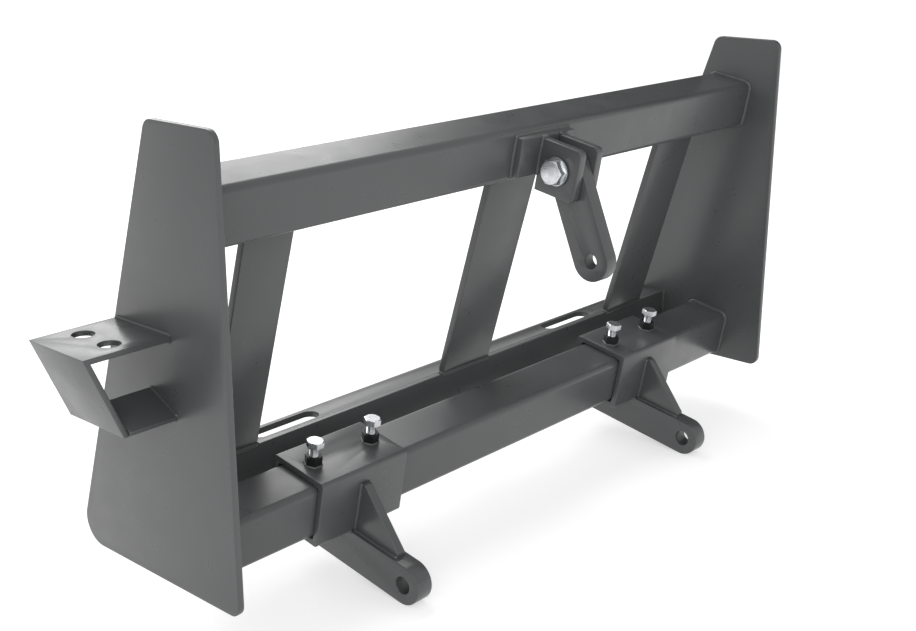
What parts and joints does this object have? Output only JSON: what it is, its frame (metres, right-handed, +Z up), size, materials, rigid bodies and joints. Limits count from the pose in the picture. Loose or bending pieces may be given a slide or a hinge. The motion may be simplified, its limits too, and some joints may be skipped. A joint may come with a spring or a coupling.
{
  "type": "quick coupler",
  "caption": "Welded quick coupler frame: loader hook and slotted lock ledge behind, sliding hitch arms and a swinging top link in front.",
  "frame": {"origin": "on the top face of the slotted ledge, in the middle of the lock rail's flat top (web and ledge together) and halfway between the two side plates", "axes": "+X to the right seen from the implement side, +Y to the back where the loader attaches, +Z up out of the ledge"},
  "size_m": [1.185, 0.3431, 0.5908],
  "materials": {
    "grey_paint": "semi-gloss dark grey paint over welded steel",
    "zinc_plate": "bright zinc plate",
    "black_oxide": "black oxide on hexagon nuts"
  },
  "bodies": {
    "frame": {"bracket_tie": "grey_paint", "hook_plate": "grey_paint", "hose_bracket": "grey_paint", "left_clevis_ear": "grey_paint", "left_side_plate": "grey_paint", "left_strut": "grey_paint", "link_pad": "grey_paint", "link_pin": "zinc_plate", "link_pin_nut": "black_oxide", "link_pin_washers": "zinc_plate", "lock_ledge": "grey_paint", "lower_tube": "grey_paint", "middle_strut": "grey_paint", "rail_web": "grey_paint", "right_clevis_ear": "grey_paint", "right_side_plate": "grey_paint", "right_strut": "grey_paint", "upper_tube": "grey_paint"},
    "left_carriage": {"left_sleeve": "grey_paint", "left_lower_arm": "grey_paint", "left_arm_gusset": "grey_paint", "left_weld_nuts": "black_oxide"},
    "right_carriage": {"right_sleeve": "grey_paint", "right_lower_arm": "grey_paint", "right_arm_gusset": "grey_paint", "right_weld_nuts": "black_oxide"},
    "top_link_arm": {"top_link": "grey_paint"},
    "left_outer_set_bolt_body": {"left_outer_set_bolt": "zinc_plate"},
    "left_inner_set_bolt_body": {"left_inner_set_bolt": "zinc_plate"},
    "right_outer_set_bolt_body": {"right_outer_set_bolt": "zinc_plate"},
    "right_inner_set_bolt_body": {"right_inner_set_bolt": "zinc_plate"}
  },
  "joints": [
    {"name": "left_carriage_slide", "type": "slide", "parent": "frame", "child": "left_carriage", "axis": [1, 0, 0], "range_m": [-0.155, 0.22]},
    {"name": "right_carriage_slide", "type": "slide", "parent": "frame", "child": "right_carriage", "axis": [1, 0, 0], "range_m": [-0.22, 0.155]},
    {"name": "top_link_swing", "type": "hinge", "parent": "frame", "child": "top_link_arm", "pos_m": [0.027, -0.19556, 0.30739], "axis": [1, 0, 0], "range_deg": [-100, 40]},
    {"name": "left_outer_set_bolt_travel", "type": "slide", "parent": "left_carriage", "child": "left_outer_set_bolt_body", "axis": [0, -0.1822, 0.9833], "range_m": [0, 0.02]},
    {"name": "left_inner_set_bolt_travel", "type": "slide", "parent": "left_carriage", "child": "left_inner_set_bolt_body", "axis": [0, -0.1822, 0.9833], "range_m": [0, 0.02]},
    {"name": "right_outer_set_bolt_travel", "type": "slide", "parent": "right_carriage", "child": "right_outer_set_bolt_body", "axis": [0, -0.1822, 0.9833], "range_m": [0, 0.02]},
    {"name": "right_inner_set_bolt_travel", "type": "slide", "parent": "right_carriage", "child": "right_inner_set_bolt_body", "axis": [0, -0.1822, 0.9833], "range_m": [0, 0.02]}
  ]
}
